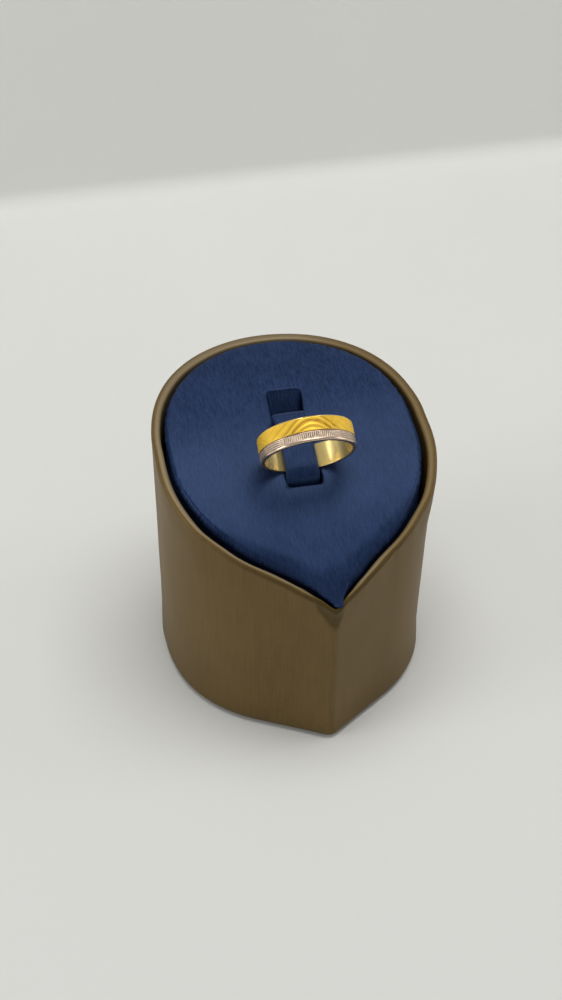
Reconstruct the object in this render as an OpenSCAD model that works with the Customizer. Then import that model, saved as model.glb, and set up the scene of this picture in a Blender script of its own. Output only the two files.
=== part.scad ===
// A two-tone ring held upright on a teardrop display stand.
// The stand's pointed corner faces -Y, its round back faces +Y, and it rests on z = 0.
// The origin is the centre of the round back, on the floor.
// All sizes are in millimetres.

/* [Ring] */
// Outside diameter of the ring
ring_od = 20; // [18:0.5:22]
// Width of the band along the finger
ring_w = 5.25; // [4:0.25:6]
// Thickness of the metal
ring_wall = 0.95; // [0.8:0.05:1.3]
// Width of the white strip at the front edge
white_w = 2.1; // [1.5:0.1:2.5]
// Depth of the groove where the two metals meet
groove_d = 0.18; // [0.1:0.02:0.3]
// Bevel on the outer edges
ring_bevel = 0.22; // [0.1:0.02:0.3]
// How far the ring's hole leans down from level, in degrees
ring_tilt = 33; // [28:1:36]
// How far ring, clip and slot are turned on the cushion, in degrees
ring_turn = -2; // [-5:1:5]
// Where the ring's lowest point stands, across the stand
ring_x = -0.2; // [-1:0.1:1]
// Where the ring's lowest point stands, along the stand
ring_y = -7.5; // [-9:0.5:-6]
// How deep the ring's lowest point sinks into the slot
ring_sink = 0.8; // [0.6:0.1:1]

/* [Clip] */
// Width of the covered strap
clip_w = 7.2; // [6:0.1:7.4]
// Thickness of the covered strap
clip_t = 1; // [0.8:0.1:1.1]
// Height of the strap's middle over the ring's lowest inner line
clip_rise = 1.5; // [1.5:0.1:1.7]
// Radius of the two bends above the legs
clip_bend = 2; // [1.5:0.1:2.4]
// Radius of the bend between the sloping part and the flat top
clip_crown = 12; // [8:1:16]
// Slope of the flat top, in degrees
clip_top_slope = 9; // [5:1:14]
// Length of the sloping part in front of the ring's middle
clip_front = 4.2; // [3.5:0.1:4.5]
// Length of the sloping part behind the ring's middle
clip_back = 3.6; // [3:0.1:4]
// Length of the flat top
clip_flat = 1.2; // [0.5:0.1:1.5]

/* [Cushion] */
// Height of the cushion over the rim
cushion_proud = 0.2; // [0:0.1:0.8]
// Thickness of the cushion
cushion_t = 13; // [11:0.5:14]
// Gap between cushion and rim
cushion_gap = 0.8; // [0.4:0.1:1.2]
// Width of the slot
slot_w = 7.9; // [7.7:0.1:8.5]
// Distance from the ring's lowest point to the slot's back edge
slot_back = 17.3; // [16:0.1:18]
// Distance from the ring's lowest point to the slot's front edge
slot_front = 7.3; // [7.2:0.1:8]
// Thickness of the cushion's pointed flap over the rim
flap_t = 1; // [0.6:0.1:1.4]
// How far the flap stops short of the stand's outside
flap_inset = 0.7; // [0.5:0.1:1]
// Length of the flap, back from the corner
flap_l = 4; // [3.8:0.1:5]

/* [Stand] */
// Radius of the round back
plan_r = 30; // [28:0.5:32]
// How far the shoulders stand in front of the round back
shoulder_shift = 3; // [2:0.5:5]
// Angle between each flank and the line across the stand, in degrees
flank_slope = 30; // [26:1:34]
// Radius of the pointed corner
corner_r = 1.2; // [0.8:0.1:2]
// Height of the highest point of the rim's curve
stand_h = 64; // [60:1:68]
// Radius of the rim's curve, seen from the side
rim_arc_r = 118; // [110:1:130]
// Where the rim's curve is level, along the stand
rim_arc_y = 33.5; // [30:0.5:38]
// Thickness of the covered wall
wall = 2.2; // [1.8:0.1:2.6]
// Thickness of the deck under the cushion
deck_t = 2; // [1.5:0.1:3]
// Thickness of the base board
base_t = 2.5; // [2:0.1:4]
// Height of the wall's lower edge over the floor
foot_gap = 0.4; // [0.2:0.1:0.8]

/* [Hidden] */
$fn = 96;
// Clearance between pieces that rest on each other
seat_gap = 0.2;
// Reach of cutting shapes past the faces that they cut
reach = 5;
// Smallest radius of a pointed corner after an inset
corner_min = 0.2;
// Colours of the satin, the covering, the metal and the base board
navy = [0.18, 0.26, 0.38];
bronze = [0.38, 0.30, 0.19];
gold = [0.87, 0.70, 0.24];
black = [0.08, 0.08, 0.09];

// Height of the centre of the rim's curve
arc_z = stand_h - rim_arc_r;
cushion_top_r = rim_arc_r + cushion_proud;
cushion_bottom_r = cushion_top_r - cushion_t;
deck_top_r = cushion_bottom_r - seat_gap;
deck_bottom_r = deck_top_r - deck_t;
flap_bottom_r = cushion_top_r - flap_t;
cushion_inset = wall + cushion_gap;
base_inset = wall + seat_gap;
// Where the two flanks would meet in a sharp corner
corner_y = -shoulder_shift - plan_r / cos(flank_slope);
// Steps of the rim's curve, and its reach before and behind the origin
curve_steps = 22;
curve_reach = 44;

ring_r = ring_od / 2;
bore_r = ring_r - ring_wall;
// Height of the cushion's curve at a place along the stand
function curve_z(r, y) = arc_z + sqrt(r * r - (y - rim_arc_y) * (y - rim_arc_y));
seat_z = curve_z(cushion_top_r, ring_y) - ring_sink;

// Points of an arc, by the angle from straight forward
function plan_arc(r, y, from, to, steps) =
    [for (i = [0:steps]) let (a = from + (to - from) * i / steps) [r * sin(a), y - r * cos(a)]];

// One side of the teardrop, from the corner to the middle of the back
function plan_side(inset) =
    let (
        r = plan_r - inset,
        tip_r = max(corner_r - inset, corner_min),
        tip_y = -shoulder_shift - (r - tip_r) / cos(flank_slope)
    )
    concat(
        plan_arc(tip_r, tip_y, 0, flank_slope, 3),
        plan_arc(r, -shoulder_shift, flank_slope, 90, 16),
        plan_arc(r, 0, 90, 180, 24)
    );

function plan_points(inset) =
    let (side = plan_side(inset), last = len(side) - 1)
    concat(side, [for (i = [last - 1:-1:1]) [-side[i][0], side[i][1]]]);

// Everything of a teardrop column between two heights
module column(inset, low, high) {
    translate([0, 0, low])
        linear_extrude(high - low)
            polygon(plan_points(inset));
}

// Everything under the rim's curve, for a curve of the given radius
module under_curve(r) {
    curve = [
        for (i = [0:curve_steps])
            let (y = -curve_reach + 2 * curve_reach * i / curve_steps)
                [y, curve_z(r, y)]
    ];
    rotate([90, 0, 90])
        linear_extrude(3 * plan_r, center = true)
            polygon(concat([[-curve_reach, -reach]], curve, [[curve_reach, -reach]]));
}

// A teardrop layer that follows the rim's curve
module curved_layer(inset, bottom_r, top_r) {
    difference() {
        intersection() {
            column(inset, base_t, stand_h + reach);
            under_curve(top_r);
        }
        under_curve(bottom_r);
    }
}

// The place of the ring's lowest point, turned as the ring is
module holder() {
    translate([ring_x, ring_y, 0])
        rotate([0, 0, ring_turn])
            children();
}

// The ring's own frame: its axis is +Z towards the front and its lowest point is the origin
module ring_frame() {
    holder()
        translate([0, 0, seat_z])
            rotate([90 + ring_tilt, 0, 0])
                translate([0, ring_r, 0])
                    children();
}

module ring_band() {
    half = ring_w / 2;
    seam = half - white_w;
    bore_bevel = ring_bevel / 2;
    color(gold)
        ring_frame()
            rotate_extrude()
                polygon([
                    [bore_r, bore_bevel - half],
                    [bore_r + bore_bevel, -half],
                    [ring_r - ring_bevel, -half],
                    [ring_r, ring_bevel - half],
                    [ring_r, seam - groove_d],
                    [ring_r - groove_d, seam],
                    [ring_r, seam + groove_d],
                    [ring_r, half - ring_bevel],
                    [ring_r - ring_bevel, half],
                    [bore_r + bore_bevel, half],
                    [bore_r, half - bore_bevel]
                ]);
}

// Unit steps across the ring's wall and along its axis, in the side view
ring_up = [-sin(ring_tilt), cos(ring_tilt)];
ring_ahead = [-cos(ring_tilt), -sin(ring_tilt)];
// A point of the strap's middle line on its sloping part
function slope_point(ahead) =
    [0, seat_z] + (ring_wall + clip_rise) * ring_up + ahead * ring_ahead;
function bend_points(centre, r, from, to, steps) =
    [for (i = [0:steps]) let (a = from + (to - from) * i / steps) centre + r * [cos(a), sin(a)]];

top_angle = 90 + clip_top_slope;
top_normal = [cos(top_angle), sin(top_angle)];
front_centre = slope_point(clip_front) - clip_bend * ring_up;
crown_centre = slope_point(-clip_back) - clip_crown * ring_up;
back_centre = crown_centre + (clip_crown - clip_bend) * top_normal
    + clip_flat * [cos(clip_top_slope), sin(clip_top_slope)];

// One face of the strap, from the foot of its front leg to the foot of its back leg
function strap_face(out) =
    concat(
        [[front_centre[0] - clip_bend - out, base_t]],
        bend_points(front_centre, clip_bend + out, 180, 90 + ring_tilt, 6),
        bend_points(crown_centre, clip_crown + out, 90 + ring_tilt, top_angle, 6),
        bend_points(back_centre, clip_bend + out, top_angle, 0, 9),
        [[back_centre[0] + clip_bend + out, base_t]]
    );

module ring_clip() {
    inner = strap_face(-clip_t / 2);
    backwards = [for (i = [len(inner) - 1:-1:0]) inner[i]];
    color(navy)
        difference() {
            holder()
                rotate([90, 0, 90])
                    linear_extrude(clip_w, center = true)
                        polygon(concat(strap_face(clip_t / 2), backwards));
            under_curve(deck_top_r + seat_gap);
        }
}

// The part of the stand's box that lies less than a length behind the pointed corner
module corner_block(length) {
    translate([-plan_r, corner_y - reach, 0])
        cube([2 * plan_r, length + reach, stand_h + reach]);
}

module cushion() {
    color(navy)
        difference() {
            union() {
                curved_layer(cushion_inset, cushion_bottom_r, cushion_top_r);
                intersection() {
                    curved_layer(flap_inset, flap_bottom_r, cushion_top_r);
                    corner_block(flap_l);
                }
            }
            // slot for the ring and its clip
            holder()
                translate([-slot_w / 2, -slot_front, base_t])
                    cube([slot_w, slot_front + slot_back, stand_h]);
            // groove that the ring presses into the satin
            ring_frame()
                cylinder(h = ring_w + 3 * seat_gap, r = ring_r + seat_gap, center = true);
        }
}

module stand_shell() {
    color(bronze)
        difference() {
            intersection() {
                column(0, foot_gap, stand_h + reach);
                under_curve(rim_arc_r);
            }
            column(wall, -reach, stand_h + 2 * reach);
            // notch in the rim under the cushion's flap
            difference() {
                corner_block(flap_l + seat_gap);
                under_curve(flap_bottom_r - seat_gap);
            }
        }
}

module stand_deck() {
    color(bronze)
        curved_layer(base_inset, deck_bottom_r, deck_top_r);
}

module stand_base() {
    color(black)
        column(base_inset, 0, base_t);
}

ring_band();
ring_clip();
cushion();
stand_shell();
stand_deck();
stand_base();
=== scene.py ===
import math

import bmesh
import bpy
from mathutils import Matrix, Vector, noise


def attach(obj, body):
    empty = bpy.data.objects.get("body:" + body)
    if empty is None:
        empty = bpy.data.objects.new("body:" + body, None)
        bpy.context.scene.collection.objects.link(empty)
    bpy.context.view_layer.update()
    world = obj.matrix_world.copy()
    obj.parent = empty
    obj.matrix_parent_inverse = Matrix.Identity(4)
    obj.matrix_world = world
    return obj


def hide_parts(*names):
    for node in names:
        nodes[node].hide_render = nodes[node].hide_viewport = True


# A two-tone ring on a teardrop display stand.
# Lengths are in millimetres until a piece is finished, when its mesh is scaled to metres.
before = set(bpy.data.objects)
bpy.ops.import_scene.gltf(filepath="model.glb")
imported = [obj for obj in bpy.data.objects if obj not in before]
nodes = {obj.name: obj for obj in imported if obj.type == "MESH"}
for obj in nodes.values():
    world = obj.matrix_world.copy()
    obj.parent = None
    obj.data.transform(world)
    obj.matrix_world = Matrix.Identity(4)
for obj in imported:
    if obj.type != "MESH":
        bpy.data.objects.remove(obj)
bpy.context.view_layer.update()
scene = bpy.context.scene
mm = 0.001
upward = Vector((0, 0, 1))
print("frame loaded:", sorted(nodes))


def clamp(value, low=0.0, high=1.0):
    return max(low, min(high, value))


def smooth(value, low=0.0, high=1.0):
    t = clamp((value - low) / (high - low))
    return t * t * (3 - 2 * t)


def hump(distance, width):
    return math.exp(-(distance / width) ** 2)


# The stand's own sizes, as in the CAD source
stand = {
    "radius": 30.0,
    "shoulderShift": 3.0,
    "flankSlope": 30.0,
    "height": 64.0,
    "arcRadius": 118.0,
    "arcY": 33.5,
}


def arcHeight(y, lift=0.0):
    r = stand["arcRadius"] + lift
    return stand["height"] - stand["arcRadius"] + math.sqrt(r * r - (y - stand["arcY"]) ** 2)


def planSide(x, y):  # the teardrop's outward direction at a place, and how far inside its outline that is
    centreY = 0.0 if y > 0 else max(y, -stand["shoulderShift"])
    flank = math.radians(stand["flankSlope"])
    turn = math.atan2(abs(x), centreY - y)
    turn = max(turn, flank) if y < -stand["shoulderShift"] else turn
    outward = Vector((math.copysign(math.sin(turn), x), -math.cos(turn)))
    inset = stand["radius"] - outward.dot(Vector((x, y - centreY)))
    if abs(x) < 0.01 and y < 0:
        outward = Vector((0, -1 / math.cos(flank)))
    return outward, inset


# Towards the corner the rim grows thinner
def tuckShare(y):
    return clamp((-y - 6.0) / 30.0)


# How the hand-covered stand strays from its plan. For a place along the stand, then for its left
# and its right side: the rim's outer and inner shift outwards, and the cushion's inset
strayTable = [
    (30, (0.0, -0.9, 2.9), (0.0, -0.9, 2.9)),
    (26, (0.0, -0.6, 2.7), (0.0, -0.6, 2.65)),
    (17, (0.0, -0.15, 2.75), (0.0, -0.5, 2.7)),
    (8, (0.0, 0.1, 2.65), (0.0, -0.3, 2.95)),
    (0, (0.1, 0.3, 2.55), (0.25, 0.0, 2.8)),
    (-11, (0.6, 0.65, 2.15), (0.65, 0.45, 2.5)),
    (-18, (0.55, 0.6, 2.3), (0.75, 0.5, 2.25)),
    (-24, (-0.2, -0.2, 2.65), (0.1, -0.25, 2.35)),
    (-29, (-0.4, -0.55, 2.5), (-0.15, -0.4, 2.3)),
    (-32, (-0.3, -0.3, 2.15), (0.15, 0.0, 1.95)),
    (-34, (0.0, 0.2, 1.85), (0.3, 0.3, 1.7)),
    (-38, (0.1, 0.4, 1.6), (0.1, 0.2, 1.6)),
]


def strayed(x, y):
    side = 1 if x < 0 else 2
    y = clamp(y, -38, 30)
    for above, below in zip(strayTable, strayTable[1:]):
        if y >= below[0]:
            down = smooth((above[0] - y) / (above[0] - below[0]))
            return [a + (b - a) * down for a, b in zip(above[side], below[side])]


# Where the ring's lowest point stands: ring, strap and slot all turn about it
holder = {"place": (-0.2, -7.5), "turn": -2.0, "tilt": 33.0, "sink": 0.8, "cushionLift": 0.2}
seatHeight = arcHeight(holder["place"][1], holder["cushionLift"]) - holder["sink"]
holderFrame = (Matrix.Translation((*holder["place"], 0))
               @ Matrix.Rotation(math.radians(holder["turn"]), 4, "Z"))


class Wire:  # a number or colour in a shader, with Python's own arithmetic
    def __init__(self, finish, socket):
        self.finish = finish
        self.socket = socket

    def maths(self, operation, first, second):
        return self.finish.add("ShaderNodeMath", {0: first, 1: second}, operation=operation)

    def __add__(self, other):
        return self.maths("ADD", self, other)

    def __radd__(self, other):
        return self.maths("ADD", other, self)

    def __sub__(self, other):
        return self.maths("SUBTRACT", self, other)

    def __rsub__(self, other):
        return self.maths("SUBTRACT", other, self)

    def __mul__(self, other):
        return self.maths("MULTIPLY", self, other)

    def __rmul__(self, other):
        return self.maths("MULTIPLY", other, self)

    def between(self, low, high):
        return self.finish.add("ShaderNodeMapRange", {"Value": self, "From Min": low, "From Max": high})


class Finish:  # one material and its nodes
    def __init__(self, name):
        self.material = bpy.data.materials.new(name)
        self.material.use_nodes = True
        self.tree = self.material.node_tree
        self.tree.nodes.clear()

    def add(self, kind, values=None, out=0, **settings):
        node = self.tree.nodes.new(kind)
        for name, value in settings.items():
            setattr(node, name, value)
        for name, value in (values or {}).items():
            if isinstance(value, Wire):
                self.tree.links.new(value.socket, node.inputs[name])
            elif node.inputs[name].type == "RGBA":
                node.inputs[name].default_value = (*value, 1)
            else:
                node.inputs[name].default_value = value
        return Wire(self, node.outputs[out] if node.outputs else None)

    def stretched(self, x, y, z):
        place = self.add("ShaderNodeTexCoord", out="Object")
        return self.add("ShaderNodeMapping", {"Vector": place, "Scale": (x, y, z)})

    def grain(self, vector, detail=2.0, roughness=0.5):
        return self.add("ShaderNodeTexNoise", {
            "Vector": vector, "Scale": 1.0, "Detail": detail, "Roughness": roughness})

    def blended(self, share, first, second):
        return self.add("ShaderNodeMix", {0: share, 6: first, 7: second}, out=2, data_type="RGBA")

    def attribute(self, name):
        return self.add("ShaderNodeAttribute", out="Fac", attribute_name=name)

    def bumps(self, height, depth):
        return self.add("ShaderNodeBump", {"Height": height, "Distance": depth * mm})

    def finished(self, **sockets):
        values = {name.replace("_", " "): value for name, value in sockets.items()}
        shader = self.add("ShaderNodeBsdfPrincipled", values)
        self.add("ShaderNodeOutputMaterial", {"Surface": shader})
        return self.material


satinLook = {
    "threads": 3400.0,    # noise cells per metre across the threads
    "floats": 430.0,      # and along them
    "crossings": 2600.0,
    "clouds": 90.0,
    "weave": 0.012,       # depth of the weave
    "dark": (0.0038, 0.0106, 0.036),
    "light": (0.0200, 0.0390, 0.105),
    "shaded": (0.001, 0.002, 0.008),  # painted shade where the cushion turns down
}


def satin(name):
    f = Finish(name)
    look = satinLook
    threads = f.grain(f.stretched(look["threads"], look["floats"], look["floats"]), 3.0, 0.6)
    crossing = f.grain(f.stretched(*[look["crossings"]] * 3), 2.0, 0.6)
    cloudy = f.grain(f.stretched(*[look["clouds"]] * 3), 3.0, 0.6)
    weave = threads * 0.65 + crossing * 0.35
    tone = (weave * 0.75 + cloudy * 0.25).between(0.38, 0.62)
    plain = f.blended(tone, look["dark"], look["light"])
    return f.finished(
        # painted shade: the shade attribute darkens the satin where the cushion turns down
        Base_Color=f.blended(f.attribute("shade") * 0.8, plain, look["shaded"]),
        Roughness=0.30 + weave * 0.18,
        Specular_IOR_Level=0.34,
        Specular_Tint=(0.32, 0.50, 1.0),
        Sheen_Weight=0.05,
        Sheen_Roughness=0.45,
        Sheen_Tint=(0.25, 0.42, 0.85),
        Normal=f.bumps(weave, look["weave"]))


bronzeLook = {
    "dark": (0.114, 0.070, 0.019),
    "light": (0.157, 0.099, 0.030),
    "crestHighlight": (0.215, 0.162, 0.088),    # painted highlight along the top of the rim
    "shadedFold": (0.050, 0.030, 0.002),  # painted shade in the folds, along the rim's crease and towards the foot
    "weave": 0.012,
}


def bronzeCloth(name):
    f = Finish(name)
    look = bronzeLook
    threads = f.grain(f.stretched(2400, 2400, 110), 3.0, 0.65)
    crossing = f.grain(f.stretched(420, 420, 1700), 2.0, 0.5)
    cloudy = f.grain(f.stretched(55, 55, 30), 3.0, 0.6)
    weave = threads * 0.75 + crossing * 0.25
    tone = (weave * 0.7 + cloudy * 0.3).between(0.36, 0.64)
    plain = f.blended(tone, look["dark"], look["light"])
    # painted highlight along the rim's top, where the crest attribute is set
    crestHighlight = f.blended(f.attribute("crest"), plain, look["crestHighlight"])
    return f.finished(
        # painted shade: the fold under the corner, the rim's crease and the wall near the foot
        Base_Color=f.blended(f.attribute("shellShade") * 0.75, crestHighlight, look["shadedFold"]),
        Metallic=0.25,
        Roughness=0.40 + weave * 0.2,
        Specular_IOR_Level=0.4,
        Specular_Tint=(1.0, 0.93, 0.78),
        Normal=f.bumps(weave, look["weave"]))


def boardFelt(name):
    f = Finish(name)
    fibres = f.grain(f.stretched(2200, 2200, 2200), 4.0, 0.7)
    return f.finished(
        Base_Color=f.blended(fibres.between(0.3, 0.7), (0.006, 0.006, 0.008), (0.02, 0.02, 0.024)),
        Roughness=0.85 + fibres * 0.1,
        Normal=f.bumps(fibres, 0.05))


# Painted shade in a cut, tone of a ridge and of polished metal, roughness where frosted, and share of
# frosting
goldLook = {
    "yellowGold": ((0.34, 0.12, 0.004), (1.0, 0.66, 0.060), (1.0, 0.74, 0.36), 0.42, 1.0),
    "whiteGold": ((0.045, 0.030, 0.022), (0.68, 0.52, 0.39), (0.72, 0.56, 0.42), 0.28, 1.0),
    "boreGold": ((1.0, 0.78, 0.32), (1.0, 0.78, 0.32), (1.0, 0.78, 0.32), 0.30, 0.0),
}


def goldMetal(name):
    f = Finish(name)
    cut, ridge, polished, roughness, frost = goldLook[name]
    polish = f.attribute("polish")
    frosting = f.grain(f.stretched(7000, 7000, 7000), 2.0, 0.6)
    wear = f.grain(f.stretched(700, 700, 700), 3.0, 0.6)
    frosted = 1 - polish
    level = (f.attribute("carvingShade") + (frosting - 0.5) * 0.35).between(0.0, 1.0)
    return f.finished(
        # painted shade in the carved cuts, the milled ticks and the seam's groove
        Base_Color=f.blended(polish, f.blended(level, cut, ridge), polished),
        Metallic=1 - frosted * 0.5,
        Roughness=polish * 0.10 + frosted * (roughness + frosting * 0.14 * frost) + wear * 0.04,
        Normal=f.bumps(frosting * frosted, 0.006 * frost))


ringGolds = [goldMetal(name) for name in goldLook]
navySatin = satin("navySatin")
navyStrap = satin("navyStrap")
bronzeSatin = bronzeCloth("bronzeSatin")
blackFelt = boardFelt("blackFelt")
print("materials made")


def dressed(name, bm, materials, node):
    bmesh.ops.scale(bm, vec=(mm, mm, mm), verts=bm.verts)
    mesh = bpy.data.meshes.new(name)
    bm.to_mesh(mesh)
    bm.free()
    mesh.shade_smooth()
    for material in materials:
        mesh.materials.append(material)
    piece = bpy.data.objects.new(name, mesh)
    scene.collection.objects.link(piece)
    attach(piece, "root")
    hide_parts(node)
    print("piece made:", name, len(mesh.polygons), "faces")
    return piece


def chain(bm, points, closed=False):
    verts = [bm.verts.new(p) for p in points]
    edges = [bm.edges.new(pair) for pair in zip(verts, verts[1:] + verts[:1])][:None if closed else -1]
    return verts, edges


# Carries a profile one way, turning or shifting it a little at each step
def carry(bm, geom, degrees=0.0, centre=(0, 0, 0), shift=(0, 0, 0), steps=1):
    step = Vector(shift) / steps
    return bmesh.ops.spin(bm, geom=geom, cent=centre, axis=upward, dvec=step,
                          angle=math.radians(degrees), steps=steps)["geom_last"]


def everything(bm):
    return bm.verts[:] + bm.edges[:] + bm.faces[:]


# From the back's middle round one side to the corner, then mirrored
def sweepTeardrop(bm, geom, backSteps, shoulderSteps, flankSteps):
    slope = math.radians(stand["flankSlope"])
    shoulder = (0, -stand["shoulderShift"], 0)
    pastCorner = stand["radius"] * math.tan(slope) + 0.7  # cut off where the two sides meet
    geom = carry(bm, geom, degrees=-90, steps=backSteps)
    geom = carry(bm, geom, shift=shoulder, steps=3)
    geom = carry(bm, geom, degrees=stand["flankSlope"] - 90, centre=shoulder, steps=shoulderSteps)
    flank = (-math.cos(slope) * pastCorner, -math.sin(slope) * pastCorner, 0)
    carry(bm, geom, shift=flank, steps=flankSteps)
    bmesh.ops.bisect_plane(bm, geom=everything(bm), plane_co=(0, 0, 0), plane_no=(1, 0, 0), clear_inner=True)
    bmesh.ops.mirror(bm, geom=everything(bm), merge_dist=0.001, axis="X")
    bmesh.ops.remove_doubles(bm, verts=bm.verts, dist=0.004)


shellShape = {
    "foot": [(1.9, 0.4), (1.3, 0.42), (0.8, 0.55), (0.42, 0.8), (0.14, 1.2), (0.0, 1.8)],  # inset, height
    "outer": [3, 5, 10, 18, 26, 34, 42, 50, 54, 56.5, 58, 59, 59.8, 60.5, 61.1, 61.6, 62.0],
    "rim": [(0.0, 62.3), (-0.01, 62.5), (-0.03, 62.7), (-0.05, 62.95), (-0.03, 63.15), (0.04, 63.38),
            (0.18, 63.6), (0.38, 63.78), (0.62, 63.9), (0.9, 63.97), (1.2, 64.0), (1.5, 63.98),
            (1.76, 63.9), (1.94, 63.76), (2.05, 63.55), (2.1, 63.25), (2.12, 62.6), (2.15, 61.0)],
    "inner": [58, 48, 30, 8],
    "wall": 2.2,
    "levelAbove": 58.0,   # above this the wall follows the rim's curve without a squeeze
    "levelInset": 0.5,    # the rim is level across, at the height of this line
    "thinning": 0.58,     # share of the wall's thickness that it loses towards the corner
    "cornerRound": 2.0,
    "cornerLean": -0.2,   # how far the corner's top stands to the left of its foot
    "leanWidth": 9.0,
    "notchWidth": 2.6,    # where the cushion's corner lies over the rim
    "notchDepth": 0.6,
    "foldDepth": 0.25,
    "strayDepth": 18.0,   # the rim strays from its plan down to this depth
    "innerDepth": 11.0,   # and on its inner face down to this one
    "flareHeight": 12.0,  # the wall flares towards its foot from this height
    "footFlare": 0.3,
    "flankFlare": 0.35,   # more of it along the front flanks
    "ripple": 0.05,
    "steps": (64, 40, 72),  # round half the back, round a shoulder, and along a flank
}
# depth under the rim, left edge and right edge of the fold below the cushion's corner
foldEdges = [(-0.5, -4.0, 3.0), (0.6, -4.2, 2.3), (1.6, -4.0, 1.7), (2.9, -3.3, 1.4), (4.1, -2.2, 1.1),
             (4.9, -1.6, 0.7), (6.2, -0.3, -0.2)]
# x, y, width and height of the small puckers just under the rim
rimPuckers = [(15.0, -29.1, 0.8, -0.12), (15.9, -28.5, 0.6, 0.09), (18.6, -26.0, 0.7, -0.12),
              (19.5, -25.2, 0.6, 0.09), (-20.5, -24.6, 1.1, 0.05)]


def shellProfile(bm):
    s = shellShape
    points = list(s["foot"])
    points += [(0.0, h) for h in s["outer"]]
    points += s["rim"]
    points += [(s["wall"], h) for h in s["inner"]]
    points.append((s["wall"], 0.4))
    return chain(bm, [(0, stand["radius"] - inset, height) for inset, height in points], closed=True)


def foldShare(x, y, depth):  # 1 inside the fold under the cushion's corner
    if y > -33:
        return 0.0
    for (above, left, right), (below, nextLeft, nextRight) in zip(foldEdges, foldEdges[1:]):
        if depth <= below:
            down = clamp((depth - above) / (below - above))
            left += (nextLeft - left) * down
            right += (nextRight - right) * down
            return smooth(x - left, -0.25, 0.5) * smooth(right - x, -0.25, 0.5)
    return 0.0


def creaseShade(y, inset, depth):  # painted shade of a crease along the outside of the rim, deepest at the corner
    return 0.9 * smooth(-y, 20, 33) * smooth(0.95 - inset, 0, 0.3) * hump(depth - 0.5, 0.7)


def cornerLean(x, y, z):
    s = shellShape
    return s["cornerLean"] * clamp(z / 40) * hump(x, s["leanWidth"]) * smooth(-y, 24, 34)


def roundedCorner(x, y, inset):  # a place near the sharp corner, brought onto the rounded one
    r = shellShape["cornerRound"]
    flank = math.radians(stand["flankSlope"])
    centreY = -stand["shoulderShift"] - (stand["radius"] - r) / math.cos(flank)
    if inset < r and y < centreY and abs(x) < math.tan(flank) * (centreY - y):
        way = Vector((x, y - centreY)).normalized() * (r - inset)
        return way.x, centreY + way.y
    return x, y


def rimStray(x, y, inset, depth, z):  # how far the hand-covered wall strays outwards from its plan
    s = shellShape
    outer, inner = strayed(x, y)[:2]
    outside = 1 - clamp(inset / 2)  # 1 on the outer face, and 0 on the inner one
    stray = (inner + (outer - inner) * outside) * smooth(s["strayDepth"] - depth, 0, s["strayDepth"] - 1)
    stray *= outside + (1 - outside) * smooth(s["innerDepth"] - depth, 0, 6)
    flare = s["footFlare"] + s["flankFlare"] * smooth(-y, 6, 20)
    return stray + flare * smooth(s["flareHeight"] - z, 0, s["flareHeight"] - 1) * outside


def rimRipple(x, y, z, depth):  # how far the cloth ripples in and out, with the puckers under the rim
    ripple = noise.noise(Vector((x, y, z)) * 0.11) * shellShape["ripple"]
    for px, py, width, size in rimPuckers:
        ripple += size * hump(math.dist((x, y), (px, py)), width) * hump(depth - 1.5, 0.8)
    return ripple


def shapeRim(bm):
    s = shellShape
    top = stand["height"]
    shellShade = bm.verts.layers.float.new("shellShade")
    crest = bm.verts.layers.float.new("crest")
    bm.normal_update()
    for v in bm.verts:
        x, y, z = v.co
        outward, inset = planSide(x, y)
        levelY = y + outward.y * (inset - s["levelInset"])
        share = clamp((z - 1.0) / (s["levelAbove"] - 1.0))
        depth = top - z
        v.co.z = z + (arcHeight(levelY) - top) * share
        v.co.xy = roundedCorner(x, y, inset)
        if inset > 0.3:
            thinner = (inset - 0.3) * s["thinning"] * tuckShare(y) * smooth(10 - depth, 0, 4)
            v.co.x += outward.x * thinner
            v.co.y += outward.y * thinner
        corner = smooth(1 - abs(x) / s["notchWidth"]) if y < -28 else 0.0
        v.co.z -= s["notchDepth"] * corner * smooth(1 - depth / 5)
        shadedFold = foldShare(x, y, depth) if inset < 1.3 else 0.0
        v.co.y += s["foldDepth"] * shadedFold * smooth(depth, 0.4, 3.0)
        # painted shade: in the fold under the cushion's corner, along the rim's crease, and darker towards
        # the foot
        v[shellShade] = max(shadedFold, creaseShade(y, inset, depth), 0.8 * math.exp(-z / 2.5))
        # the crest attribute paints a highlight along the rim's top, weaker towards the right
        v[crest] = smooth(inset, 0.55, 1.1) * smooth(1.8 - depth, 0, 0.8) * (1 - smooth(-y, 31, 35))
        v[crest] *= 1 - 0.8 * smooth(x, 5, 20)
        v.co.xy = v.co.xy + outward * rimStray(x, y, inset, depth, z)
        v.co.x += cornerLean(x, y, v.co.z)
        ripple = rimRipple(x, y, v.co.z, depth)
        v.co += Vector((v.normal.x, v.normal.y, 0)) * ripple * smooth(z, 1.0, 6.0)


bm = bmesh.new()
verts, edges = shellProfile(bm)
sweepTeardrop(bm, verts + edges, *shellShape["steps"])
bmesh.ops.recalc_face_normals(bm, faces=bm.faces)
shapeRim(bm)
bmesh.ops.recalc_face_normals(bm, faces=bm.faces)
dressed("standShell", bm, [bronzeSatin], "stand_shell")


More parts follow.
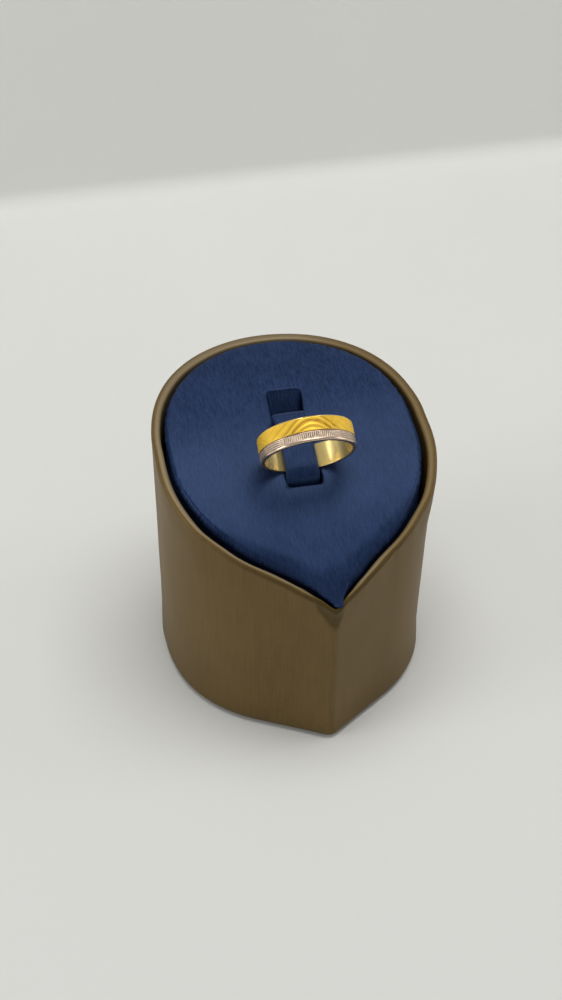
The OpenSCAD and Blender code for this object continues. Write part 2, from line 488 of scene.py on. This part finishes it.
padShape = {
    "lift": 0.2,
    "thickness": 12.9,
    "shrink": 0.3,        # the pad starts this much smaller, and swells
    "steps": (40, 30, 30),  # round half the back, round a shoulder, and along a flank
    "voxel": 0.6,
    "simScale": 20.0,     # simulated at this many times its size
    "pressure": 4.0,
    "frames": 20,
    "cap": 0.4,           # the furthest that a point may swell
    "pinDepth": 3.0,      # deeper than this the foam is held by the shell
    "smoothing": 4,
    "edgeRound": 0.4,
    "undercut": 0.7,
    "fairDepth": 6.0,     # the side is drawn fair down to this depth
    "backSink": 0.25,     # how far the cushion lies under the rim at the back
    "border": 3.2,        # width of the border that dips towards the edge
    "dip": 0.5,
    "unevenness": 0.10,
    "tipShift": 0.4,      # how far to the right the cushion's corner lies
    "tipLine": -37.0,     # the blunt tip's front
    "tipSlant": 0.2,      # and how much further forward it lies, for each millimetre to the right
    "tipHalf": 0.75,
    "tipSpan": 1.3,
    "tipExtra": 1.7,      # makes up for the corner that the swelling rounds off
    "tipThickness": 0.9,
    "leftReach": (2.3, 7.5),      # how far the edge comes out beside the tip, and over what width
    "rightReach": (2.1, 4.0),
    "fills": ((0.8, -2.6, 2.4), (0.5, 1.8, 1.0)),  # height, place beside the tip, and width
}


def tipReach(x):  # how far in front of the flanks' meeting lines the cushion's tip comes
    p = padShape
    beside = x - p["tipShift"]
    front = p["cornerY"] + math.tan(math.radians(stand["flankSlope"])) * abs(beside)
    reach = front - p["tipLine"]
    if beside < -p["tipHalf"]:
        height, width = p["leftReach"]
        reach = height * clamp(1 + (beside + p["tipHalf"]) / width)
    elif beside > p["tipHalf"]:
        height, width = p["rightReach"]
        reach = height * clamp(1 - (beside - p["tipHalf"]) / width) ** 2
    for height, place, width in p["fills"]:
        reach += height * hump(beside - place, width)
    return reach + p["tipExtra"] * smooth(p["tipSpan"] - abs(beside), 0, 0.8)


def padInset(x, y):
    return strayed(x, y)[2]


padShape["cornerY"] = (-stand["shoulderShift"] - (stand["radius"] - padInset(0, -38))
                       / math.cos(math.radians(stand["flankSlope"])))


def padStart():
    p = padShape
    bm = bmesh.new()
    start = bm.verts.new((0, stand["radius"], 0))
    sweepTeardrop(bm, [start], *p["steps"])
    for v in bm.verts:
        outward, inset = planSide(v.co.x, v.co.y)
        v.co.xy = v.co.xy - outward * (padInset(v.co.x, v.co.y) + p["shrink"])
    bmesh.ops.contextual_create(bm, geom=bm.edges)
    for y in range(-36, 38, 2):  # cut across, so that it can follow the rim's curve
        bmesh.ops.bisect_plane(bm, geom=everything(bm), plane_co=(0, y, 0), plane_no=(0, 1, 0))
    for v in bm.verts:
        v.co.z = arcHeight(v.co.y, p["lift"] - p["shrink"])
    rim = [e for e in bm.edges if e.is_boundary]
    lower = bmesh.ops.extrude_face_region(bm, geom=bm.faces[:] + rim, use_keep_orig=True)["geom"]
    lowerVerts = [g for g in lower if isinstance(g, bmesh.types.BMVert)]
    bmesh.ops.translate(bm, verts=lowerVerts, vec=(0, 0, -p["thickness"]))
    bmesh.ops.recalc_face_normals(bm, faces=bm.faces)
    return bm


def settled(piece):  # the piece's mesh with its modifiers applied
    graph = bpy.context.evaluated_depsgraph_get()
    return bpy.data.meshes.new_from_object(piece.evaluated_get(graph))


def swollen(pad, scale):  # where the cloth simulation takes each point of the pad
    p = padShape
    held = pad.vertex_groups.new(name="held")
    for v in pad.data.vertices:
        depth = arcHeight(v.co.y / scale, p["lift"]) - v.co.z / scale
        held.add([v.index], smooth(depth, 1.0, p["pinDepth"]), "REPLACE")
    cloth = pad.modifiers.new("cloth", "CLOTH")
    cloth.settings.vertex_group_mass = "held"
    cloth.settings.use_pressure = True
    cloth.settings.uniform_pressure_force = p["pressure"]
    cloth.settings.effector_weights.gravity = 0
    cloth.settings.quality = 6
    cloth.settings.mass = 0.3
    cloth.point_cache.frame_start = 1
    cloth.point_cache.frame_end = p["frames"]
    for number in range(1, p["frames"] + 1):
        scene.frame_set(number)
    points = [v.co.copy() for v in settled(pad).vertices]
    scene.frame_set(1)
    pad.modifiers.clear()
    return points


def padSimulated(bm):
    p = padShape
    scale = mm * p["simScale"]
    bmesh.ops.scale(bm, vec=(scale, scale, scale), verts=bm.verts)
    mesh = bpy.data.meshes.new("padStart")
    bm.to_mesh(mesh)
    bm.free()
    pad = bpy.data.objects.new("padStart", mesh)
    scene.collection.objects.link(pad)
    remesh = pad.modifiers.new("voxels", "REMESH")
    remesh.mode = "VOXEL"
    remesh.voxel_size = p["voxel"] * scale
    pad.data = settled(pad)
    pad.modifiers.clear()
    before = [v.co.copy() for v in pad.data.vertices]
    after = swollen(pad, scale)
    moves = sorted((b - a).length / scale for a, b in zip(before, after))
    print("pad simulated, middle and furthest move in mm:",
          round(moves[len(moves) // 2], 3), round(moves[-1], 3))
    limit = p["cap"] * scale
    for v, a, b in zip(pad.data.vertices, before, after):
        move = b - a
        v.co = a + move * (limit / max(move.length, limit))
    bm = bmesh.new()
    bm.from_mesh(pad.data)
    for i in range(p["smoothing"]):
        bmesh.ops.smooth_vert(bm, verts=bm.verts, factor=0.5,
                              use_axis_x=True, use_axis_y=True, use_axis_z=True)
    bm.to_mesh(pad.data)
    bm.free()
    smoother = pad.modifiers.new("finer", "SUBSURF")
    smoother.levels = smoother.render_levels = 1
    bm = bmesh.new()
    bm.from_mesh(settled(pad))
    bmesh.ops.scale(bm, vec=(1 / scale,) * 3, verts=bm.verts)
    bpy.data.objects.remove(pad)
    return bm


slotShape = {
    "halfWidth": 3.85,
    "back": 17.9,
    "front": 6.2,
    "lip": 0.4,
    "lipSteps": 6,
    "cornerRound": 1.5,
    "depths": (0.8, 1.8, 3.2, 5.0, 7.5),
    "backLean": 0.60,     # how much the back wall comes forward, for each millimetre down
    "rightLean": -0.36,   # the right wall falls back under the satin
    "leanDepth": 9.0,     # down to this depth
    "floor": 0.6,         # the slot's floor lies this far over the cushion's underside
    "sag": 0.08,          # how far its edge sags
    "sagWidth": 1.5,
    "press": 0.15,        # how far the ring presses into the satin beside it
    "rightWarp": (0.37, 12.0, 17.0),  # its sides aren't quite straight: how far out, from where to where
    "leftWarp": (0.25, 10.0, 17.0),
    "rightPinch": (0.45, 8.5, 4.5),   # how far in, where, and over what width
    "warpReach": 2.5,
}


# Draws the swollen pad's side and top edge fair, as satin stretched round a cut board does
def padFaired(bm):
    p = padShape
    r = p["edgeRound"]
    for v in bm.verts:
        outward, inset = planSide(v.co.x, v.co.y)
        inside = inset - padInset(v.co.x, v.co.y)
        depth = arcHeight(v.co.y, p["lift"]) - v.co.z
        if depth > p["fairDepth"]:
            continue
        newInside, newDepth = inside, depth
        if depth < r and inside < r:
            span = math.hypot(r - inside, r - depth)
            newInside, newDepth = r - r * (r - inside) / span, r - r * (r - depth) / span
        elif inside <= depth and inside < 1.5:
            newInside = p["undercut"] * smooth(depth, r, 2.2)
        elif depth < min(inside, 1.2):
            newDepth = depth * 0.6 * smooth(inside, r, 12.0)
        v.co.xy = v.co.xy + outward * (inside - newInside)
        dip = padDip(v.co.x, v.co.y, newInside) * smooth(4.5 - newDepth, 0, 3)
        v.co.z = arcHeight(v.co.y, p["lift"]) - newDepth - dip


def padDip(x, y, inside):  # the border turns down towards its edge, most along the front flanks
    p = padShape
    inside -= cornerSoftened(x, y)
    turned = smooth(p["border"] - inside, 0, p["border"]) ** 1.5
    return p["dip"] * smooth(-y, 14, 30) * turned + p["backSink"] * smooth(y, 5, 25)


def padShade(x, y):  # painted shade where the satin turns down along the front flanks, most at the left
    inside = planSide(x, y)[1] - padInset(x, y)
    edge = 0.5 + 0.5 * smooth(inside, 0.1, 0.7)
    inside -= cornerSoftened(x, y)
    side = 0.55 - 0.25 * smooth(x, -3, 3)
    return side * edge * smooth(-y, 16, 30) * smooth(4.0 - inside, 0, 3.6)


def cornerSoftened(x, y):  # rounds off the meeting of the two flanks' borders
    return 0.5 * (math.hypot(x, 3.5) - abs(x)) * smooth(-y, 16, 26)


# The top sags a little towards the slot and under the ring, and the corner is only a thin tip
def padSculpted(bm):
    p, s = padShape, slotShape
    shade = bm.verts.layers.float.new("shade")
    for v in bm.verts:
        x, y, z = v.co
        # the shade attribute holds the satin's painted shade along the front flanks
        v[shade] = padShade(x, y)
        depth = arcHeight(y, p["lift"]) - z
        if y < -24:
            inside = planSide(x, y)[1] - padInset(x, y)
            x += p["tipShift"] * smooth(-y, 28, 34)
            near = smooth(4.5 - inside, 0, 4.2) * smooth(p["tipThickness"] + 0.7 - depth, 0, 0.7)
            y = max(y - tipReach(x) * near, min(y, p["tipLine"] - p["tipSlant"] * (x - 0.3)))
            v.co.z += arcHeight(y) - arcHeight(v.co.y) + 0.15 * near * smooth(tipReach(x), 0.6, 1.4)
            v.co.xy = x, y
        place = holderFrame.inverted() @ Vector((x, y, 0))
        beside = max(abs(place.x) - s["halfWidth"], 0)
        beyond = max(place.y - s["back"], -s["front"] - place.y, 0)
        if depth < 4:
            v.co.z -= s["sag"] * hump(math.hypot(beside, beyond), s["sagWidth"])
            v.co.z -= s["press"] * hump(place.y + 0.6, 2.6) * hump(beside, 1.0)
            v.co.z += p["unevenness"] * noise.noise(Vector((x * 0.09, y * 0.07, 1.7)))


def slotOpening(bm):  # cuts the slot's rounded opening, and gives its edge with each point's way inwards
    s = slotShape
    wide, back, front = s["halfWidth"] + s["lip"], s["back"] + s["lip"], -s["front"] - s["lip"]
    for place, normal in (((wide, 0, 0), (1, 0, 0)), ((-wide, 0, 0), (1, 0, 0)),
                          ((0, back, 0), (0, 1, 0)), ((0, front, 0), (0, 1, 0))):
        bmesh.ops.bisect_plane(bm, geom=everything(bm), plane_co=place, plane_no=normal)
    inside = []
    for face in bm.faces:
        c = face.calc_center_median()
        if abs(c.x) < wide and front < c.y < back and face.normal.z > 0:
            inside.append(face)
    bmesh.ops.delete(bm, geom=inside, context="FACES")
    edge = [e for e in bm.edges if e.is_boundary]
    corner = s["cornerRound"]
    starts = {}
    for v in {v for e in edge for v in e.verts}:
        core = Vector((clamp(v.co.x, corner - wide, wide - corner),
                       clamp(v.co.y, front + corner, back - corner)))
        way = core - v.co.xy
        inward = way.normalized()
        v.co.xy = core - inward * min(way.length, corner)
        starts[v] = (v.co.copy(), inward)
    return edge, starts


def slotWalls(bm, edge, starts):  # a rounded lip, then walls down to the slot's floor
    s = slotShape
    turns = [math.pi / 2 * i / s["lipSteps"] for i in range(1, s["lipSteps"] + 1)]
    rings = [(s["lip"] * math.sin(t), s["lip"] * (1 - math.cos(t))) for t in turns]
    rings += [(s["lip"], s["lip"] + depth) for depth in s["depths"]]
    rings.append((s["lip"], None))  # the last lies on the floor
    for pull, sink in rings:
        grown = bmesh.ops.extrude_edge_only(bm, edges=edge)["geom"]
        edge = [g for g in grown if isinstance(g, bmesh.types.BMEdge) and g.is_boundary]
        following = {}
        for v in (g for g in grown if isinstance(g, bmesh.types.BMVert)):
            source = min((o.other_vert(v) for o in v.link_edges if o.other_vert(v) in starts),
                         key=lambda o: (o.co - v.co).length)
            following[v] = starts[source]
        below = max(min(sink or s["leanDepth"], s["leanDepth"]) - s["lip"], 0)
        for v, (start, way) in following.items():
            v.co.x = start.x + way.x * pull - s["rightLean"] * below * smooth(-way.x, 0.5, 1.0)
            v.co.y = start.y + way.y * pull - s["backLean"] * below * smooth(-way.y, 0.3, 1.0)
            floor = arcHeight(v.co.y + holder["place"][1], s["floor"] - padShape["thickness"])
            v.co.z = start.z - sink if sink else floor
        starts = following
    floorFaces = bmesh.ops.holes_fill(bm, edges=edge, sides=0)["faces"]
    bmesh.ops.triangulate(bm, faces=floorFaces)


def slotWarped(bm):
    s = slotShape
    rightOut, rightStart, rightEnd = s["rightWarp"]
    leftOut, leftStart, leftEnd = s["leftWarp"]
    pinch, pinchAt, pinchWidth = s["rightPinch"]
    for v in bm.verts:
        near = hump(abs(v.co.x) - s["halfWidth"], s["warpReach"])
        if v.co.x > 0:
            out = rightOut * smooth(v.co.y, rightStart, rightEnd)
            v.co.x += near * (out - pinch * hump(v.co.y - pinchAt, pinchWidth))
        else:
            v.co.x += near * leftOut * smooth(v.co.y, leftStart, leftEnd)


def padSlotted(bm):
    bmesh.ops.transform(bm, matrix=holderFrame.inverted(), verts=bm.verts)
    edge, starts = slotOpening(bm)
    slotWalls(bm, edge, starts)
    slotWarped(bm)
    bmesh.ops.recalc_face_normals(bm, faces=bm.faces)
    bmesh.ops.transform(bm, matrix=holderFrame, verts=bm.verts)


bm = padSimulated(padStart())
padFaired(bm)
padSculpted(bm)
padSlotted(bm)
satinCushion = dressed("satinCushion", bm, [navySatin], "cushion")


strapShape = {
    "width": 7.2,
    "thickness": 1.0,
    "rise": 1.5,
    "frontBend": 3.4,
    "backBend": 1.3,
    "crown": 12.0,
    "topSlope": 9.0,
    "front": 2.3,
    "back": 3.6,
    "flat": 1.15,
    "wall": 0.95,
    "across": 14,
    "edge": 0.42,
    "swell": 0.16,
    "place": (-0.6, -7.5),
    "turn": -0.8,
}


def strapLine():  # the strap's middle line, from the front foot to the back foot
    s = strapShape
    tilt = math.radians(holder["tilt"])
    up = Vector((0, -math.sin(tilt), math.cos(tilt)))
    ahead = Vector((0, -math.cos(tilt), -math.sin(tilt)))
    middle = Vector((0, 0, seatHeight)) + (s["wall"] + s["rise"]) * up
    slope = math.radians(s["topSlope"])
    topNormal = Vector((0, -math.sin(slope), math.cos(slope)))
    frontCentre = middle + s["front"] * ahead - s["frontBend"] * up
    crownCentre = middle - s["back"] * ahead - s["crown"] * up
    backCentre = (crownCentre + (s["crown"] - s["backBend"]) * topNormal
                  + s["flat"] * Vector((0, math.cos(slope), math.sin(slope))))

    def arc(centre, r, start, end, steps):
        turns = [math.radians(start + (end - start) * i / steps) for i in range(steps + 1)]
        return [centre + r * Vector((0, math.cos(t), math.sin(t))) for t in turns]

    frontY, backY = frontCentre.y - s["frontBend"], backCentre.y + s["backBend"]
    frontFoot = arcHeight(frontY + holder["place"][1], -padShape["thickness"])
    backFoot = arcHeight(backY + holder["place"][1], -padShape["thickness"])
    legs = [Vector((0, frontY, frontFoot + (frontCentre.z - frontFoot) * i / 7)) for i in range(7)]
    legs += arc(frontCentre, s["frontBend"], 180, 90 + holder["tilt"], 10)
    slopeEnd = legs[-1]
    crown = arc(crownCentre, s["crown"], 90 + holder["tilt"], 90 + s["topSlope"], 8)
    legs += [slopeEnd.lerp(crown[0], i / 8) for i in range(1, 8)]
    legs += crown
    bend = arc(backCentre, s["backBend"], 90 + s["topSlope"], 0, 10)
    legs += [crown[-1].lerp(bend[0], i / 3) for i in (1, 2)]
    legs += bend
    legs += [Vector((0, backY, backCentre.z + (backFoot - backCentre.z) * i / 7)) for i in range(1, 8)]
    return legs


def makeStrap():
    s = strapShape
    half = s["width"] / 2
    bm = bmesh.new()
    verts, edges = chain(bm, [p + Vector((-half, 0, 0)) for p in strapLine()])
    carry(bm, verts + edges, shift=(s["width"], 0, 0), steps=s["across"])
    bmesh.ops.recalc_face_normals(bm, faces=bm.faces)
    bm.normal_update()
    for v in bm.verts:
        v.co += v.normal * s["thickness"] / 2
    bmesh.ops.solidify(bm, geom=bm.faces[:], thickness=s["thickness"])
    bmesh.ops.recalc_face_normals(bm, faces=bm.faces)
    atSide = half - 0.01
    sharp = math.radians(69)
    sideEdges = [e for e in bm.edges if len(e.link_faces) == 2 and e.calc_face_angle() > sharp
                 and abs(e.verts[0].co.x) > atSide and abs(e.verts[1].co.x) > atSide]
    bmesh.ops.bevel(bm, geom=sideEdges, offset=s["edge"], offset_type="OFFSET", segments=4, profile=0.5,
                    affect="EDGES", material=-1, clamp_overlap=True)
    bm.normal_update()
    for v in bm.verts:  # fuller along its middle
        fullness = (1 - (v.co.x / half) ** 2) * (0.8 + 0.4 * noise.noise(v.co * 0.25))
        v.co += v.normal * s["swell"] * fullness
    turn = Matrix.Rotation(math.radians(s["turn"]), 4, "Z")
    bmesh.ops.transform(bm, matrix=Matrix.Translation((*s["place"], 0)) @ turn, verts=bm.verts)
    dressed("ringClip", bm, [navyStrap], "ring_clip")


makeStrap()


ringShape = {
    "radius": 10.0,
    "seam": 0.525,
    "steps": 900,
    "motifs": 3,
    "motifAt": 93.0,        # the carved hill's middle, in degrees round the ring
    "firstWidth": 3.5,      # half the width of the hill's first ridge at the seam
    "heightStep": 1.45,     # from one ridge to the next at the hill's middle
    "hillSides": ((4.0, 1.285, 0.60), (5.0, 1.885, 0.36)),  # way from the middle, level there and slope
    "ridge": 0.15,          # height of the ridges
    "streaks": 0.45,        # strength of the fine lines past the second ridge
    "scratches": 0.5,
    "ticks": 150,
    "tickDepth": 0.10,
    "tickEnd": 2.15,
    "ticked": (-46.0, -28.0, 26.0, 36.0),  # degrees from the hill where ticks set in, are full, fade and end
    "rowLines": (0.80, 1.22, 1.64, 2.06),
    "milled": (0.72, 0.80, 2.22),  # where across the strip the cuts set in, are full and end
    "borePolish": 0.45,
    "facePolish": 0.8,
    "boreEdge": 9.12,       # what lies further in is bore
    "outside": 9.9,         # what lies further out is carved
}
ringProfile = [  # radius, place along the axis, and cuts before the next point
    (9.05, -2.50, 0), (9.09, -2.59, 0), (9.18, -2.625, 2), (9.72, -2.625, 0), (9.88, -2.60, 0),
    (9.96, -2.53, 0), (9.99, -2.44, 34), (9.99, 0.40, 0), (9.94, 0.46, 0), (9.80, 0.525, 0),
    (9.94, 0.59, 0), (9.99, 0.65, 24), (9.99, 2.32, 0), (9.97, 2.42, 0), (9.93, 2.51, 0),
    (9.86, 2.575, 0), (9.76, 2.615, 0), (9.62, 2.625, 1), (9.18, 2.625, 0), (9.09, 2.59, 0),
    (9.05, 2.50, 0), (9.05, 2.40, 5), (9.05, -2.40, 0)]


def hillLevel(x, y):  # 1 on the first carved ridge, 2 on the second, and so on
    r = ringShape
    across = abs(x)
    run = (across / r["firstWidth"]) ** 1.88
    for start, level, slope in r["hillSides"]:
        if across >= start:
            run = level + slope * (across - start)
    return y / r["heightStep"] + run


def yellowCarving(x, along):  # from -1 in a deep cut to 1 on a ridge
    r = ringShape
    y = r["seam"] - along
    level = hillLevel(x, y)
    fade = smooth(along, -2.46, -2.25) * smooth(along, 0.42, 0.26)
    strong = smooth(level, 0.35, 0.75) * (1 - 0.92 * smooth(level, 2.2, 3.0))  # two bold ridges
    crest = 2 * (0.5 + 0.5 * math.cos(2 * math.pi * level)) ** 1.6 - 0.75
    drift = 2.5 * noise.noise(Vector((x * 0.5, along, 0)))
    fine = math.cos(2 * math.pi * level * 4.2 + drift)
    patches = 0.6 + 0.9 * noise.noise(Vector((x * 0.35, along * 0.4, 4)))
    streaks = r["streaks"] * fine * patches * smooth(level, 1.9, 2.6) + 0.08 * fine
    scratches = r["scratches"] * noise.noise(Vector((level * 9, x * 0.6 + along, 7)))
    return fade * (strong * crest + streaks + scratches)


def whiteCuts(angle, fromMotif, along):  # 1 at the bottom of a cut
    r = ringShape
    start, full, fading, end = r["ticked"]
    ticked = smooth(fromMotif, start, full) * smooth(-fromMotif, -end, -fading)
    uneven = noise.noise(Vector((angle * 13, along * 1.1, 3)))
    tick = (0.5 + 0.5 * math.cos(angle * r["ticks"] + 1.2 * uneven)) ** 1.4 * clamp(1.0 + 1.0 * uneven)
    tick *= ticked * smooth(r["tickEnd"] - along, 0, 0.3)
    # Lines run along the strip where it isn't ticked
    rows = max(hump(along - line, 0.08) for line in r["rowLines"])
    rows *= clamp(0.9 - 0.8 * uneven) * (1 - 0.9 * ticked)
    milledStart, milledFull, milledEnd = r["milled"]
    milled = smooth(along, milledStart, milledFull) * smooth(milledEnd - along, 0, 0.08)
    return milled * max(tick, rows)


def carveRing(bm):
    r = ringShape
    polish = bm.verts.layers.float.new("polish")
    carvingShade = bm.verts.layers.float.new("carvingShade")  # 0 in a cut, 1 on a ridge: mixes in the painted shade of the cuts
    share = 360 / r["motifs"]
    for v in bm.verts:
        out = math.hypot(v.co.x, v.co.y)
        along = v.co.z
        angle = math.atan2(v.co.y, v.co.x)
        fromMotif = (r["motifAt"] - math.degrees(angle) + share / 2) % share - share / 2
        v[polish] = r["borePolish"] if out < r["boreEdge"] else r["facePolish"]
        v[carvingShade] = 0.6
        change = 0.0
        if out > r["outside"] and along < r["seam"]:
            height = yellowCarving(math.radians(fromMotif) * r["radius"], along)
            change = r["ridge"] * 0.5 * (height - 0.4)
            v[polish] = 1 - smooth(along, -2.48, -2.36) * smooth(along, 0.46, 0.36)
            v[carvingShade] = clamp(0.9 + 0.9 * height)
        elif out > r["outside"]:
            cut = whiteCuts(angle, fromMotif, along)
            change = -r["tickDepth"] * cut
            milled = smooth(along, 0.70, 0.80) * smooth(r["milled"][2] + 0.04 - along, 0, 0.1)
            v[polish] = 0.7 - 0.55 * milled
            v[carvingShade] = 1 - cut
        if abs(along - r["seam"]) < 0.1 and out > 9.7:  # the groove between the two golds, painted with the shade of a cut
            v[polish] = 0.0
            v[carvingShade] = 0.0
        v.co.x *= 1 + change / out
        v.co.y *= 1 + change / out


def makeRing():
    r = ringShape
    bm = bmesh.new()
    verts, edges = chain(bm, [(radius, 0, along) for radius, along, cuts in ringProfile], closed=True)
    for edge, (radius, along, cuts) in zip(edges, ringProfile):
        if cuts:
            bmesh.ops.subdivide_edges(bm, edges=[edge], cuts=cuts)
    bmesh.ops.spin(bm, geom=bm.verts[:] + bm.edges[:], cent=(0, 0, 0), axis=upward, angle=2 * math.pi,
                   steps=r["steps"], use_merge=True)
    bmesh.ops.recalc_face_normals(bm, faces=bm.faces)
    for face in bm.faces:  # 0 is yellow gold, 1 white gold and 2 the bore
        c = face.calc_center_median()
        out = math.hypot(c.x, c.y)
        face.material_index = 2 if out < 9.1 else int(c.z > r["seam"] and out > 9.5)
    carveRing(bm)
    ringFrame = (holderFrame @ Matrix.Translation((0, 0, seatHeight))
                 @ Matrix.Rotation(math.radians(90 + holder["tilt"]), 4, "X")
                 @ Matrix.Translation((0, r["radius"], 0)))
    bmesh.ops.transform(bm, matrix=ringFrame, verts=bm.verts)
    dressed("ringBand", bm, ringGolds, "ring_band")


makeRing()


for name in ("stand_deck", "stand_base"):
    nodes[name].data.materials.clear()
    nodes[name].data.materials.append(blackFelt)


sweepShape = {
    "front": -900.0,
    "foot": 226.5,       # where the board turns up behind the stand
    "bendRadius": 7.0,
    "top": 160.0,
    "lean": 5.0,
    "halfWidth": 1400.0,
}


def backdropFinish():
    f = Finish("paleBoard")
    speckle = f.grain(f.stretched(500, 500, 500), 3.0, 0.6)
    clouds = f.grain(f.stretched(9, 9, 9), 2.0, 0.5)
    return f.finished(
        Base_Color=f.blended(speckle * 0.3 + clouds * 0.7, (0.73, 0.735, 0.71), (0.77, 0.775, 0.75)),
        Roughness=0.75,
        Specular_IOR_Level=0.2)


def makeBackdrop():
    s = sweepShape
    bm = bmesh.new()
    side, bend = -s["halfWidth"], s["bendRadius"]
    points = [(side, s["front"], 0), (side, s["foot"] - bend, 0)]
    for i in range(1, 9):
        turn = math.radians(90 * i / 8)
        points.append((side, s["foot"] - bend + bend * math.sin(turn), bend - bend * math.cos(turn)))
    points.append((side, s["foot"] + s["lean"], s["top"]))
    verts, edges = chain(bm, points)
    carry(bm, verts + edges, shift=(2 * s["halfWidth"], 0, 0), steps=2)
    bmesh.ops.recalc_face_normals(bm, faces=bm.faces)
    bmesh.ops.scale(bm, vec=(mm, mm, mm), verts=bm.verts)
    mesh = bpy.data.meshes.new("backdrop")
    bm.to_mesh(mesh)
    bm.free()
    mesh.shade_smooth()
    mesh.materials.append(backdropFinish())
    backdrop = bpy.data.objects.new("backdrop", mesh)
    scene.collection.objects.link(backdrop)


makeBackdrop()


roomLights = {  # place, what it faces, width and length, watts, and colour
    "overhead": ((55, 12, 700), (55, 12, 0), (520, 410), 2.8, (1.0, 0.99, 0.965)),
    "leftCard": ((-700, -80, 260), (0, 0, 40), (320, 320), 1.3, (1.0, 1.0, 1.0)),
    "rightCard": ((700, -80, 260), (0, 0, 40), (320, 320), 0.7, (1.0, 1.0, 1.0)),
}
roomGlow = {"colour": (0.99, 0.99, 1.0), "strength": 0.30}


def softLight(name, place, target, size, power, colour):
    lamp = bpy.data.lights.new(name, "AREA")
    lamp.shape = "RECTANGLE"
    lamp.size = size[0] * mm
    lamp.size_y = size[1] * mm
    lamp.energy = power
    lamp.color = colour
    light = bpy.data.objects.new(name, lamp)
    scene.collection.objects.link(light)
    light.location = Vector(place) * mm
    aim = Vector(target) - Vector(place)
    light.rotation_euler = aim.to_track_quat("-Z", "Y").to_euler()


for name, settings in roomLights.items():
    softLight(name, *settings)
world = bpy.data.worlds.new("roomLight")
world.use_nodes = True
glow = world.node_tree.nodes["Background"]
glow.inputs["Color"].default_value = (*roomGlow["colour"], 1)
glow.inputs["Strength"].default_value = roomGlow["strength"]
scene.world = world
scene.view_settings.view_transform = "Standard"
print("backdrop and lights made")


# Fitted to the stand's outline in the photograph
cameraView = {
    "place": (-60.75, -210.06, 226.57),
    "heading": 15.62,    # degrees to the right of straight back
    "pitch": 40.70,      # degrees down
    "roll": 1.07,
    "lens": 46.04,
    "sensor": 36.0,
}
lens = bpy.data.cameras.new("camera")
lens.lens = cameraView["lens"]
lens.sensor_width = cameraView["sensor"]
lens.clip_start = 0.005
lens.clip_end = 10.0
camera = bpy.data.objects.new("camera", lens)
scene.collection.objects.link(camera)
camera.matrix_world = (
    Matrix.Translation(Vector(cameraView["place"]) * mm)
    @ Matrix.Rotation(math.radians(-cameraView["heading"]), 4, "Z")
    @ Matrix.Rotation(math.radians(90 - cameraView["pitch"]), 4, "X")
    @ Matrix.Rotation(math.radians(cameraView["roll"]), 4, "Z"))
scene.camera = camera
